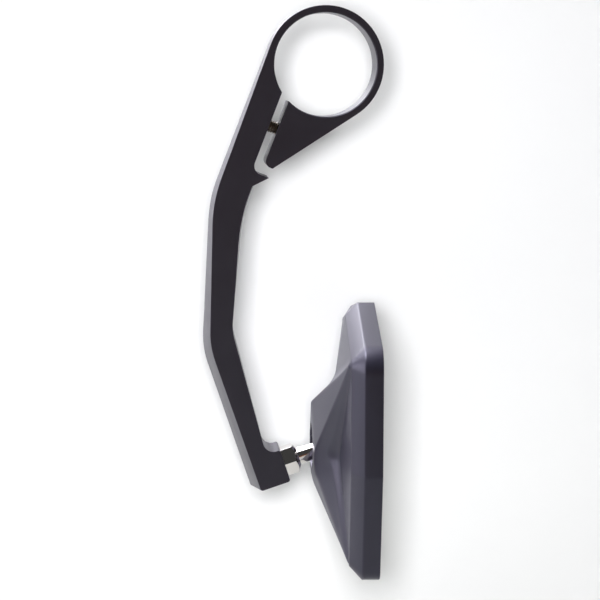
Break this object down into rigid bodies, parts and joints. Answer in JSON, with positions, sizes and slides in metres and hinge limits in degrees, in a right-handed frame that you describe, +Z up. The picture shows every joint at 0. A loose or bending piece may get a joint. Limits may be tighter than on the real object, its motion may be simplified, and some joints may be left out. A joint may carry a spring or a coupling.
{
  "type": "motorcycle mirror",
  "caption": "Bar-end motorcycle mirror: milled arm with a split clamp ring, chromed ball stud and a faceted head that swivels on the ball.",
  "frame": {"origin": "centre of the clamp bore at half the arm's thickness", "axes": "+Y along the clamp bore, away from the bevelled face, +Z up, +X towards the mirror glass"},
  "size_m": [0.0598, 0.093, 0.1806],
  "materials": {
    "anodised_arm": "black anodised, fine bead blast",
    "coated_housing": "black powder coat with a fine grain",
    "chrome": "bright chrome",
    "black_steel": "black oxide",
    "zinc_steel": "zinc plated",
    "acetal": "black moulded acetal",
    "foam_tape": "black foam tape",
    "mirror": "silvered convex glass"
  },
  "bodies": {
    "arm": {"clamp_arm": "anodised_arm", "clamp_screw": "black_steel", "ball_stud": "chrome"},
    "bearing": {"bearing_shell": "acetal"},
    "cup": {"thrust_cup": "acetal"},
    "head": {"mirror_housing": "coated_housing", "disc_spring": "zinc_steel", "pressure_plate": "zinc_steel", "plate_screws": "zinc_steel", "glass_pad": "foam_tape", "mirror_glass": "mirror"}
  },
  "joints": [
    {"name": "mirror_pan", "type": "hinge", "parent": "arm", "child": "bearing", "pos_m": [0.00265, 0, -0.12623], "axis": [0, 0, 1], "range_deg": [-9, 17]},
    {"name": "mirror_tilt", "type": "hinge", "parent": "bearing", "child": "cup", "pos_m": [0.00265, 0, -0.12623], "axis": [-0.0687, -0.9976, 0], "range_deg": [-3, 32]},
    {"name": "mirror_spin", "type": "hinge", "parent": "cup", "child": "head", "pos_m": [0.00265, 0, -0.12623], "axis": [0.9976, -0.0687, 0], "continuous": true}
  ]
}
